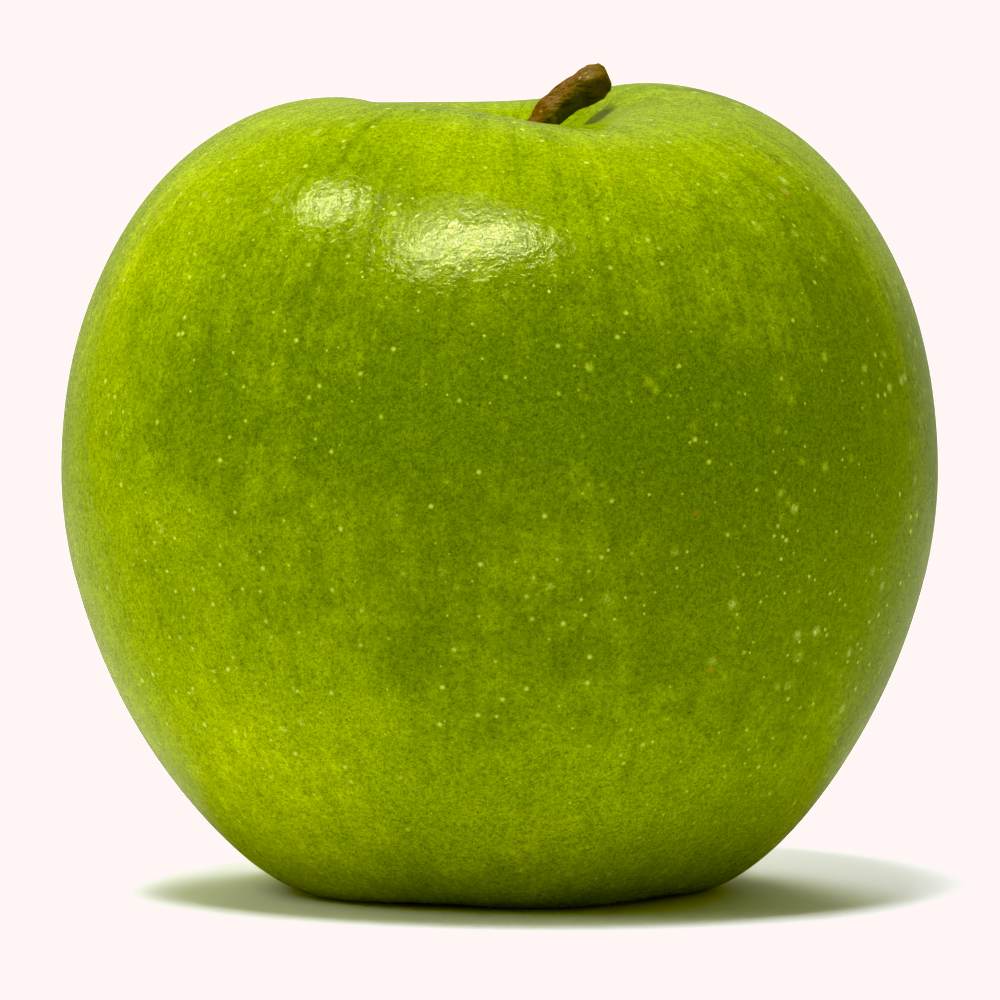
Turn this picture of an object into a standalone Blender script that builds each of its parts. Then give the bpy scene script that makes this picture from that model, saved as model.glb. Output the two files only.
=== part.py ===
"""A green eating apple at its real size: the fruit, its stem and the dried remains of its flower.

Metres, +Z up. The fruit stands on its base lobes: the origin is on the surface under them, in the middle
of the fruit's width and depth. -Y is the front. Lengths below are in millimetres, as MM turns to metres.
"""

import math

import bmesh
import bpy
from mathutils import Matrix, Vector
from mathutils.geometry import interpolate_bezier

MM = 0.001
GAP = 0.3  # kept between pieces that touch

# Fruit. Heights are above the surface that it stands on.
GIRTH_RADIUS = 38.75
GIRTH_HEIGHT = 38.0
SHOULDER_RADIUS = 14.8
SHOULDER_HEIGHT = 70.0
CAVITY_FLOOR = 58.0
BASE_RADIUS = 16.7
BASE_PRESSED = 0.3  # how far the base lobes are pressed flat where they carry the fruit
BASIN_FLOOR = 8.0
BASIN_MOUTH_RADIUS = 3.0

# How far the profile keeps its direction on each side of the girth, the shoulder and the base.
SHOULDER_INWARD = 8.0
SHOULDER_OUTWARD = 13.2
GIRTH_UPWARD = 18.2
GIRTH_DOWNWARD = 19.6
BASE_OUTWARD = 7.6
BASE_INWARD = 5.0

# How the cavity opens upward from the socket, and the basin downward from the tube's mouth.
CAVITY_FLARE = 3.1
CAVITY_RISE = 6.0
BASIN_FLARE = 3.0
BASIN_DROP = 2.0

# Unevenness round the axis: number of lobes, size, and the direction of one lobe in degrees from +X.
SHOULDER_LOBES = ((2, 0.97, 28.0), (3, 0.30, 21.0), (5, 0.12, 36.0))  # size in millimetres of height
SIDE_LOBES = ((2, 0.0153, 38.0), (3, 0.0127, -47.0), (5, 0.0074, -12.0))  # size as a part of the radius
BASE_LOBES = (5, 0.52, -74.6)  # size in millimetres of height, the direction is between two lobes
BASE_LOBE_TOP = 0.6  # how high the base lobes reach, as a part of the girth's height

# Socket for the stem's root, and the tube that the flower left behind.
SOCKET_RADIUS = 1.9
SOCKET_FLOOR = 54.5
TUBE_RADIUS = 2.6
TUBE_CEILING = 13.0
TUBE_LIP = 0.8  # height over which the mouth narrows to the tube

# Stem: a line through its middle in the XZ plane, and its thickness along that line.
STEM_ROOT = Vector((0.0, 0.0, SOCKET_FLOOR + GAP))
STEM_ROOT_HANDLE = Vector((0.0, 0.0, 61.0))
STEM_BEND = Vector((3.6, 0.2, 68.45))
STEM_BEND_WAY = Vector((0.59, 0.04, 0.81))
STEM_TIP = Vector((9.3, 0.4, 72.35))
STEM_TIP_WAY = Vector((0.92, 0.0, 0.39))
STEM_RUN_IN = 3.5  # how far the line keeps its way before the bend, after it and before the tip
STEM_RUN_OUT = 2.0
STEM_TIP_RUN = 2.2
STEM_RADII = ((0.0, 1.35), (0.12, 1.3), (0.35, 1.08), (0.6, 1.12), (0.78, 1.22), (0.9, 1.5), (0.97, 1.55),
              (1.0, 1.2))

# Sepals: the dried leaflets that close over the tube, as distance from the axis, height and half width.
SEPAL_COUNT = 5
SEPAL_LINE = ((4.5, 6.3, 1.45), (3.6, 6.35, 1.6), (2.9, 5.8, 1.5), (2.5, 4.9, 1.25), (2.45, 3.9, 0.95),
              (2.75, 3.0, 0.6), (3.3, 2.3, 0.22))
SEPAL_HALF_THICKNESS = 0.28

# Stamens: a collar with thin filaments. Styles: a short column that splits.
COLLAR_OUTER = 2.2
COLLAR_INNER = 1.3
COLLAR_TOP = TUBE_CEILING - GAP
COLLAR_BOTTOM = 11.4
STAMEN_COUNT = 14
STAMEN_LENGTH = 3.6
STAMEN_SPREAD = 0.82  # distance from the axis at the loose end, as a part of that at the foot
STAMEN_TAPER = 0.6
STYLE_RADIUS = 0.75
STYLE_SPLIT = 9.2
STYLE_LENGTH = 2.4
STYLE_ARM_INSET = 0.06

PROFILE_POINTS = 11
FRUIT_STEPS = 56
STEM_RINGS = 15
STEM_SIDES = 12
SEPAL_SIDES = 8


def smooth_step(value):
    """0 to 1 along an S-shaped ramp."""
    value = min(1.0, max(0.0, value))
    return value * value * (3.0 - 2.0 * value)


def waves(lobes, angle):
    """The sum of the lobes' rises at this angle."""
    return sum(size * math.cos(count * (angle - math.radians(peak))) for count, size, peak in lobes)


def colour_material(name, colour, roughness):
    material = bpy.data.materials.new(name)
    material.use_nodes = True
    shader = material.node_tree.nodes["Principled BSDF"]
    shader.inputs["Base Color"].default_value = (*colour, 1.0)
    shader.inputs["Roughness"].default_value = roughness
    shader.inputs["Metallic"].default_value = 0.0
    material.diffuse_color = (*colour, 1.0)
    return material


def add_piece(name, shape, material, parent):
    """Turns a bmesh in millimetres into a closed, smooth-shaded object with its own name."""
    bmesh.ops.recalc_face_normals(shape, faces=shape.faces[:])
    bmesh.ops.scale(shape, vec=(MM, MM, MM), verts=shape.verts[:])
    mesh = bpy.data.meshes.new(name)
    shape.to_mesh(mesh)
    shape.free()
    mesh.shade_smooth()
    mesh.set_sharp_from_angle(angle=math.radians(50.0))
    mesh.materials.append(material)
    piece = bpy.data.objects.new(name, mesh)
    piece.parent = parent
    bpy.context.scene.collection.objects.link(piece)
    return piece


def close_ends(shape):
    """Fills every open rim with one face."""
    rims = [edge for edge in shape.edges if edge.is_boundary]
    bmesh.ops.holes_fill(shape, edges=rims, sides=0)


def fruit_profile():
    """The skin from the stem's socket over shoulder and girth to the flower's tube, as (radius, 0, height)."""
    socket_rim = (SOCKET_RADIUS, CAVITY_FLOOR)
    shoulder = (SHOULDER_RADIUS, SHOULDER_HEIGHT)
    girth = (GIRTH_RADIUS, GIRTH_HEIGHT)
    base = (BASE_RADIUS, -BASE_PRESSED)
    mouth = (BASIN_MOUTH_RADIUS, BASIN_FLOOR)
    stretches = (
        (socket_rim, (socket_rim[0] + CAVITY_FLARE, socket_rim[1] + CAVITY_RISE),
         (shoulder[0] - SHOULDER_INWARD, shoulder[1]), shoulder),
        (shoulder, (shoulder[0] + SHOULDER_OUTWARD, shoulder[1]), (girth[0], girth[1] + GIRTH_UPWARD), girth),
        (girth, (girth[0], girth[1] - GIRTH_DOWNWARD), (base[0] + BASE_OUTWARD, base[1]), base),
        (base, (base[0] - BASE_INWARD, base[1]), (mouth[0] + BASIN_FLARE, mouth[1] - BASIN_DROP), mouth),
    )
    points = [(SOCKET_RADIUS, SOCKET_FLOOR)]
    for stretch in stretches:
        knots = [Vector((radius, 0.0, height)) for radius, height in stretch]
        curve = interpolate_bezier(*knots, PROFILE_POINTS)
        points.extend((point.x, point.z) for point in curve[:-1])
    points += [mouth, (TUBE_RADIUS, BASIN_FLOOR + TUBE_LIP), (TUBE_RADIUS, TUBE_CEILING)]
    return [Vector((radius, 0.0, height)) for radius, height in points]


def uneven(point):
    """Moves a point of the turned fruit to its place on the uneven, lobed one."""
    radius = math.hypot(point.x, point.y)
    angle = math.atan2(point.y, point.x)
    height = point.z
    stretch = 1.0 + waves(SIDE_LOBES, angle) * min(1.0, radius / GIRTH_RADIUS) ** 2
    if point.z > GIRTH_HEIGHT:
        up = smooth_step((point.z - GIRTH_HEIGHT) / (SHOULDER_HEIGHT - GIRTH_HEIGHT))
        height += up * smooth_step(radius / SHOULDER_RADIUS) * waves(SHOULDER_LOBES, angle)
    else:
        count, size, lowest = BASE_LOBES
        down = smooth_step(1.0 - point.z / (BASE_LOBE_TOP * GIRTH_HEIGHT)) * smooth_step(radius / BASE_RADIUS)
        height += down * size * (0.5 - 0.5 * math.cos(count * (angle - math.radians(lowest))))
    return Vector((radius * stretch * math.cos(angle), radius * stretch * math.sin(angle), max(0.0, height)))


def build_fruit(parent):
    """Flesh and skin as one solid, with the stem's cavity above and the flower's basin below."""
    shape = bmesh.new()
    line = [shape.verts.new(point) for point in fruit_profile()]
    edges = [shape.edges.new(pair) for pair in zip(line, line[1:])]
    bmesh.ops.spin(shape, geom=line + edges, cent=(0, 0, 0), axis=(0, 0, 1), angle=math.tau, steps=FRUIT_STEPS,
                   use_merge=True)
    close_ends(shape)
    for vertex in shape.verts:
        vertex.co = uneven(vertex.co)
    skin = colour_material("green_skin", (0.22, 0.37, 0.01), 0.32)
    return add_piece("fruit", shape, skin, parent)


def loft(rings, sides):
    """A closed solid through oval rings: each is (centre, way along, way across, half width, half thickness)."""
    shape = bmesh.new()
    last = None
    for centre, along, across, wide, thick in rings:
        along = along.normalized()
        out = along.cross(across).normalized()
        across = out.cross(along)
        place = Matrix.Translation(centre) @ Matrix((across * wide, out * thick, along)).transposed().to_4x4()
        ring = bmesh.ops.create_circle(shape, segments=sides, radius=1.0, matrix=place)["verts"]
        rim = list({edge for vertex in ring for edge in vertex.link_edges if not edge.link_faces
                    and edge.other_vert(vertex) in ring})
        if last:
            bmesh.ops.bridge_loops(shape, edges=last + rim)
        last = rim
    close_ends(shape)
    return shape


def ramp(table, place):
    """The value at this place on straight lines between the table's (place, value) pairs."""
    for (start, low), (end, high) in zip(table, table[1:]):
        if place <= end:
            return low + (high - low) * (place - start) / (end - start)
    return table[-1][1]


def build_stem(parent):
    """The woody stalk: upright out of its socket, bent to the right, and knobby where it came off the tree."""
    bend_way = STEM_BEND_WAY.normalized()
    tip_way = STEM_TIP_WAY.normalized()
    low = interpolate_bezier(STEM_ROOT, STEM_ROOT_HANDLE, STEM_BEND - STEM_RUN_IN * bend_way, STEM_BEND,
                             STEM_RINGS)
    high = interpolate_bezier(STEM_BEND, STEM_BEND + STEM_RUN_OUT * bend_way, STEM_TIP - STEM_TIP_RUN * tip_way,
                              STEM_TIP, STEM_RINGS)
    line = low[::2] + high[2::2]
    lengths = [0.0]
    for start, end in zip(line, line[1:]):
        lengths.append(lengths[-1] + (end - start).length)
    rings = []
    for index, centre in enumerate(line):
        along = line[min(index + 1, len(line) - 1)] - line[max(index - 1, 0)]
        radius = ramp(STEM_RADII, lengths[index] / lengths[-1])
        rings.append((centre, along, Vector((0, 1, 0)), radius, radius))
    bark = colour_material("stem_bark", (0.11, 0.05, 0.015), 0.6)
    return add_piece("stem", loft(rings, STEM_SIDES), bark, parent)


def build_sepal(number, parent):
    """One dried leaflet, rooted beside the tube's mouth, bent over it and out at its tip."""
    angle = math.tau * (number - 0.5) / SEPAL_COUNT
    outward = Vector((math.cos(angle), math.sin(angle), 0.0))
    sideways = Vector((-math.sin(angle), math.cos(angle), 0.0))
    line = [outward * distance + Vector((0, 0, height)) for distance, height, _ in SEPAL_LINE]
    rings = []
    for index, centre in enumerate(line):
        along = line[min(index + 1, len(line) - 1)] - line[max(index - 1, 0)]
        half_width = SEPAL_LINE[index][2]
        rings.append((centre, along, sideways, half_width, min(SEPAL_HALF_THICKNESS, half_width)))
    dried = colour_material(f"dried_leaf_{number}", (0.13, 0.11, 0.05), 0.8)
    return add_piece(f"sepal_{number}", loft(rings, SEPAL_SIDES), dried, parent)


def build_stamens(parent):
    """A thin collar inside the tube, with dried filaments that hang from it and lean inwards."""
    shape = bmesh.new()
    section = [shape.verts.new((radius, 0.0, height)) for radius, height in (
        (COLLAR_INNER, COLLAR_BOTTOM), (COLLAR_OUTER, COLLAR_BOTTOM), (COLLAR_OUTER, COLLAR_TOP),
        (COLLAR_INNER, COLLAR_TOP))]
    edges = [shape.edges.new((section[i], section[i - 1])) for i in range(len(section))]
    bmesh.ops.spin(shape, geom=section + edges, cent=(0, 0, 0), axis=(0, 0, 1), angle=math.tau,
                   steps=2 * STAMEN_COUNT, use_merge=True)
    under = [face for face in shape.faces if face.calc_center_median().z < COLLAR_BOTTOM + 0.01]
    under.sort(key=lambda face: math.atan2(face.calc_center_median().y, face.calc_center_median().x))
    for face in bmesh.ops.extrude_discrete_faces(shape, faces=under[::2])["faces"]:
        centre = face.calc_center_median()
        for vertex in face.verts:
            vertex.co = centre + (vertex.co - centre) * STAMEN_TAPER
            vertex.co.x *= STAMEN_SPREAD
            vertex.co.y *= STAMEN_SPREAD
            vertex.co.z -= STAMEN_LENGTH
    dried = colour_material("dried_stamen", (0.09, 0.05, 0.02), 0.8)
    return add_piece("stamens", shape, dried, parent)


def build_styles(parent):
    """The short column at the tube's centre, which splits into five dried arms."""
    shape = bmesh.new()
    top = TUBE_CEILING - GAP
    column = Matrix.Translation((0.0, 0.0, (top + STYLE_SPLIT) / 2.0))
    bmesh.ops.create_cone(shape, cap_ends=True, segments=SEPAL_COUNT, radius1=STYLE_RADIUS, radius2=STYLE_RADIUS,
                          depth=top - STYLE_SPLIT, matrix=column)
    end = min(shape.faces, key=lambda face: face.calc_center_median().z)
    arms = bmesh.ops.poke(shape, faces=[end])["faces"]
    bmesh.ops.inset_individual(shape, faces=arms, thickness=STYLE_ARM_INSET)
    for face in bmesh.ops.extrude_discrete_faces(shape, faces=arms)["faces"]:
        for vertex in face.verts:
            vertex.co.z -= STYLE_LENGTH
    dried = colour_material("dried_style", (0.10, 0.06, 0.02), 0.8)
    return add_piece("styles", shape, dried, parent)


def centre_on_origin(fruit, holder):
    """Moves the holder so that the middle of the fruit's width and depth is at the origin."""
    for axis in (0, 1):
        places = [vertex.co[axis] for vertex in fruit.data.vertices]
        holder.location[axis] = -(min(places) + max(places)) / 2.0


def main():
    for old in list(bpy.data.objects):
        bpy.data.objects.remove(old, do_unlink=True)
    holder = bpy.data.objects.new("apple", None)
    bpy.context.scene.collection.objects.link(holder)
    fruit = build_fruit(holder)
    build_stem(holder)
    for number in range(1, SEPAL_COUNT + 1):
        build_sepal(number, holder)
    build_stamens(holder)
    build_styles(holder)
    centre_on_origin(fruit, holder)


main()
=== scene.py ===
"""A green eating apple in a pale studio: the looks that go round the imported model.

The fruit, the stem and the dried flower parts are made again here at full detail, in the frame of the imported
model, and each stands for its own node there. Sizes are in millimetres until a mesh is finished, when MM turns
them to metres. -Y is the front, +Z is up.
"""

from __future__ import annotations

import logging
import math
from dataclasses import dataclass, field
from enum import Enum

import bmesh
import bpy
from mathutils import Matrix, Quaternion, Vector, noise
from mathutils.geometry import interpolate_bezier

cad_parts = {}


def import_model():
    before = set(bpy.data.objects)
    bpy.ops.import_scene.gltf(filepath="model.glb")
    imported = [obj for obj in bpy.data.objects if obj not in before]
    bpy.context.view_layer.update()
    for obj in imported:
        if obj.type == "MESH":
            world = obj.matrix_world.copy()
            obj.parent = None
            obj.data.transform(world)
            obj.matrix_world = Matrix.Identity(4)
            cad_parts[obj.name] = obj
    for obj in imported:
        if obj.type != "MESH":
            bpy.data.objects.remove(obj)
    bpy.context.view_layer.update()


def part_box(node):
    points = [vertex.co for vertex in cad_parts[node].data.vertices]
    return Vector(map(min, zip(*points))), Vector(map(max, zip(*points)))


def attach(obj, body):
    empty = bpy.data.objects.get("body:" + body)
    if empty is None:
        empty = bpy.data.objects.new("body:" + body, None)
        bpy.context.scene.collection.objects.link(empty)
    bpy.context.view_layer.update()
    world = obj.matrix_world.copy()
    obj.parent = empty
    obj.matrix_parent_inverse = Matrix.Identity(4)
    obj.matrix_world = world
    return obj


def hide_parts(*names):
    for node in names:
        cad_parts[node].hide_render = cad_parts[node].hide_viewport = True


MM = 0.001
BODY = "root"
LOG = logging.getLogger("apple")

Colour = tuple[float, float, float]
Station = tuple[float, float]


class Slot(Enum):
    """The finishes that the record names."""

    SKIN = "skin"
    BARK = "bark"
    DRIED_LEAF = "dried_leaf"
    DRIED_FLOWER = "dried_flower"


# ---------------------------------------------------------------------------------------------------------------
# Small tools
# ---------------------------------------------------------------------------------------------------------------


def smooth_step(value: float) -> float:
    """An S-shaped ramp from 0 to 1."""
    value = min(1.0, max(0.0, value))
    return value * value * (3.0 - 2.0 * value)


def table_value(table: tuple[Station, ...], place: float) -> float:
    """Reads a smooth value between the stations of a table.

    Args:
        table: (place, value) pairs in rising order of place.
        place: where to read.

    Returns:
        The value there, eased from station to station.
    """
    for (start, low), (end, high) in zip(table, table[1:]):
        if place <= end:
            return low + (high - low) * smooth_step((place - start) / (end - start))
    return table[-1][1]


def even_line(points: list[Vector], count: int) -> list[Vector]:
    """Places points at even steps along a line.

    Args:
        points: the line's own points.
        count: how many points to return.

    Returns:
        The evenly spaced points, with the line's two ends among them.
    """
    lengths = [0.0]
    for start, end in zip(points, points[1:]):
        lengths.append(lengths[-1] + (end - start).length)
    placed: list[Vector] = []
    index = 0
    for step in range(count):
        wanted = lengths[-1] * step / (count - 1)
        while index < len(points) - 2 and lengths[index + 1] < wanted:
            index += 1
        share = (wanted - lengths[index]) / max(1e-9, lengths[index + 1] - lengths[index])
        placed.append(points[index].lerp(points[index + 1], min(1.0, share)))
    return placed


@dataclass(frozen=True)
class Ring:
    """One oval section of a lofted piece, square to the way that the piece runs."""

    centre: Vector
    along: Vector
    across: Vector
    half_width: float
    half_thickness: float


def loft(shape: bmesh.types.BMesh, rings: list[Ring], sides: int) -> list[bmesh.types.BMVert]:
    """Adds a closed tube through oval rings.

    Args:
        shape: the bmesh that takes the tube.
        rings: its sections, from one end to the other.
        sides: how many sides each section has.

    Returns:
        The tube's vertices, ring by ring.
    """
    made: list[bmesh.types.BMVert] = []
    ends: list[list[bmesh.types.BMEdge]] = []
    last: list[bmesh.types.BMEdge] = []
    for ring in rings:
        along = ring.along.normalized()
        out = along.cross(ring.across).normalized()
        across = out.cross(along)
        turn = Matrix((across * ring.half_width, out * ring.half_thickness, along)).transposed().to_4x4()
        verts = bmesh.ops.create_circle(shape, segments=sides, radius=1.0,
                                        matrix=Matrix.Translation(ring.centre) @ turn)["verts"]
        rim = list({edge for vert in verts for edge in vert.link_edges})
        if last:
            bmesh.ops.bridge_loops(shape, edges=last + rim)
        else:
            ends.append(rim)
        made += verts
        last = rim
    ends.append(last)
    for rim in ends:
        bmesh.ops.holes_fill(shape, edges=rim, sides=0)
    return made


def finish_piece(name: str, shape: bmesh.types.BMesh, material: bpy.types.Material,
                 stands_for: str) -> bpy.types.Object:
    """Turns a bmesh in millimetres into a piece of the apple.

    Args:
        name: the piece's name.
        shape: its closed mesh, freed here.
        material: its finish.
        stands_for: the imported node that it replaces.

    Returns:
        The new object, at the origin and riding on the body.
    """
    bmesh.ops.recalc_face_normals(shape, faces=shape.faces[:])
    bmesh.ops.scale(shape, vec=(MM, MM, MM), verts=shape.verts[:])
    mesh = bpy.data.meshes.new(name)
    shape.to_mesh(mesh)
    shape.free()
    mesh.shade_smooth()
    mesh.materials.append(material)
    piece = bpy.data.objects.new(name, mesh)
    bpy.context.scene.collection.objects.link(piece)
    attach(piece, BODY)
    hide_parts(stands_for)
    LOG.info("%s: %d faces, stands for %s", name, len(mesh.polygons), stands_for)
    return piece


# ---------------------------------------------------------------------------------------------------------------
# Materials
# ---------------------------------------------------------------------------------------------------------------


@dataclass
class NodeSheet:
    """A node tree with short calls for the nodes that the finishes use."""

    tree: bpy.types.NodeTree

    def node(self, kind: str, **settings: object) -> bpy.types.Node:
        """Adds a node and sets its own properties."""
        made = self.tree.nodes.new(kind)
        for key, value in settings.items():
            setattr(made, key, value)
        return made

    def plug(self, socket: bpy.types.NodeSocket, value: object) -> None:
        """Links a socket to another, or sets its value."""
        if isinstance(value, bpy.types.NodeSocket):
            self.tree.links.new(value, socket)
        else:
            socket.default_value = value

    def math(self, operation: str, first: object, second: object = 0.0, clamp: bool = False) -> bpy.types.NodeSocket:
        """A Math node's result."""
        made = self.node("ShaderNodeMath", operation=operation, use_clamp=clamp)
        self.plug(made.inputs[0], first)
        self.plug(made.inputs[1], second)
        return made.outputs[0]

    def vector_math(self, operation: str, first: object, second: object) -> bpy.types.NodeSocket:
        """A Vector Math node's vector."""
        made = self.node("ShaderNodeVectorMath", operation=operation)
        self.plug(made.inputs[0], first)
        self.plug(made.inputs[1], second)
        return made.outputs[0]

    def remap(self, value: object, low: float, high: float, out_low: float = 0.0,
              out_high: float = 1.0) -> bpy.types.NodeSocket:
        """A smooth ramp from out_low at low to out_high at high."""
        made = self.node("ShaderNodeMapRange", interpolation_type="SMOOTHSTEP")
        for name, given in (("Value", value), ("From Min", low), ("From Max", high), ("To Min", out_low),
                            ("To Max", out_high)):
            self.plug(made.inputs[name], given)
        return made.outputs[0]

    def mix(self, factor: object, low: object, high: object, blend: str = "MIX") -> bpy.types.NodeSocket:
        """A colour between two colours."""
        made = self.node("ShaderNodeMix", data_type="RGBA", blend_type=blend)
        self.plug(made.inputs[0], factor)
        self.plug(made.inputs[6], (*low, 1.0) if isinstance(low, tuple) else low)
        self.plug(made.inputs[7], (*high, 1.0) if isinstance(high, tuple) else high)
        return made.outputs[2]

    def noise(self, vector: object, per_mm: float, detail: float = 2.0, roughness: float = 0.5,
              distortion: float = 0.0) -> bpy.types.NodeSocket:
        """Noise around 0.5 with this many features in a millimetre."""
        made = self.node("ShaderNodeTexNoise")
        for name, given in (("Vector", vector), ("Scale", per_mm), ("Detail", detail), ("Roughness", roughness),
                            ("Distortion", distortion)):
            self.plug(made.inputs[name], given)
        return made.outputs[0]

    def group(self, shared: bpy.types.NodeTree, **values: object) -> bpy.types.Node:
        """Places a shared group with this material's own values; _ in a name stands for a space."""
        made = self.node("ShaderNodeGroup", node_tree=shared)
        for key, value in values.items():
            self.plug(made.inputs[key.replace("_", " ")], value)
        return made


def new_group(name: str, inputs: dict[str, tuple[str, object]], outputs: dict[str, str]) -> tuple[
        NodeSheet, bpy.types.Node, bpy.types.Node]:
    """Starts a shader node group.

    Args:
        name: the group's name.
        inputs: socket name to (kind, value), where kind is Float or Vector.
        outputs: socket name to kind.

    Returns:
        The sheet to build in, and its input and output nodes.
    """
    tree = bpy.data.node_groups.new(name, "ShaderNodeTree")
    for key, (kind, value) in inputs.items():
        socket = tree.interface.new_socket(key, in_out="INPUT", socket_type=f"NodeSocket{kind}")
        if value is not None:
            socket.default_value = value
    for key, kind in outputs.items():
        tree.interface.new_socket(key, in_out="OUTPUT", socket_type=f"NodeSocket{kind}")
    sheet = NodeSheet(tree)
    return sheet, sheet.node("NodeGroupInput"), sheet.node("NodeGroupOutput")


def dots_group() -> bpy.types.NodeTree:
    """A shared group: round dots scattered over a surface, each with a soft edge."""
    sheet, given, result = new_group(
        "scattered_dots",
        {"Place": ("Vector", None), "Spacing": ("Float", 2.0), "Radius": ("Float", 0.15), "Softness": ("Float", 0.5)},
        {"Mask": "Float", "Chance": "Float"})
    cells = sheet.node("ShaderNodeTexVoronoi")
    sheet.plug(cells.inputs["Vector"], given.outputs["Place"])
    sheet.plug(cells.inputs["Scale"], sheet.math("DIVIDE", 1.0, given.outputs["Spacing"]))
    away = sheet.math("MULTIPLY", cells.outputs["Distance"], given.outputs["Spacing"])
    chance = sheet.node("ShaderNodeSeparateColor")
    sheet.plug(chance.inputs[0], cells.outputs["Color"])
    edge = sheet.math("MULTIPLY", given.outputs["Radius"], given.outputs["Softness"])
    inside = sheet.math("SUBTRACT", given.outputs["Radius"], away)
    sheet.plug(result.inputs["Mask"], sheet.remap(sheet.math("DIVIDE", inside, edge), 0.0, 1.0))
    sheet.plug(result.inputs["Chance"], chance.outputs[0])
    return sheet.tree


def grain_group() -> bpy.types.NodeTree:
    """A shared group: fine cell-like grain, as a factor round 1 for colour and a height for bump."""
    sheet, given, result = new_group(
        "fine_grain",
        {"Place": ("Vector", None), "Size": ("Float", 0.25), "Contrast": ("Float", 0.2)},
        {"Shade": "Float", "Height": "Float"})
    per_mm = sheet.math("DIVIDE", 1.0, given.outputs["Size"])
    fine = sheet.noise(given.outputs["Place"], per_mm, detail=1.5, roughness=0.6)
    coarse = sheet.noise(given.outputs["Place"], sheet.math("MULTIPLY", per_mm, 0.38), detail=1.0)
    both = sheet.math("ADD", sheet.math("MULTIPLY", fine, 0.65), sheet.math("MULTIPLY", coarse, 0.35))
    swing = sheet.math("MULTIPLY", sheet.math("SUBTRACT", both, 0.5), sheet.math("MULTIPLY", given.outputs["Contrast"],
                                                                               4.0))
    sheet.plug(result.inputs["Shade"], sheet.math("ADD", swing, 1.0))
    sheet.plug(result.inputs["Height"], both)
    return sheet.tree


@dataclass
class SharedGroups:
    """The node groups that several finishes place."""

    dots: bpy.types.NodeTree = field(default_factory=dots_group)
    grain: bpy.types.NodeTree = field(default_factory=grain_group)


def start_material(name: str) -> tuple[bpy.types.Material, NodeSheet, bpy.types.Node, bpy.types.NodeSocket]:
    """Starts a material.

    Args:
        name: its name.

    Returns:
        The material, its sheet, its Principled shader, and the object's own coordinates in millimetres.
    """
    material = bpy.data.materials.new(name)
    material.use_nodes = True
    sheet = NodeSheet(material.node_tree)
    shader = material.node_tree.nodes["Principled BSDF"]
    coordinates = sheet.node("ShaderNodeTexCoord")
    scaled = sheet.node("ShaderNodeVectorMath", operation="SCALE")
    sheet.plug(scaled.inputs[0], coordinates.outputs["Object"])
    scaled.inputs["Scale"].default_value = 1.0 / MM
    return material, sheet, shader, scaled.outputs[0]


def add_bump(sheet: NodeSheet, height: object, depth: float, strength: float = 1.0,
             below: object = None) -> bpy.types.NodeSocket:
    """A bumped normal.

    Args:
        sheet: the material's sheet.
        height: the pattern, 0 to 1.
        depth: how deep the pattern is, in millimetres.
        strength: how much of it shows.
        below: a bumped normal that it lies on, if any.

    Returns:
        The normal.
    """
    made = sheet.node("ShaderNodeBump")
    made.inputs["Strength"].default_value = strength
    made.inputs["Distance"].default_value = depth * MM
    sheet.plug(made.inputs["Height"], height)
    if below is not None:
        sheet.plug(made.inputs["Normal"], below)
    return made.outputs[0]


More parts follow.
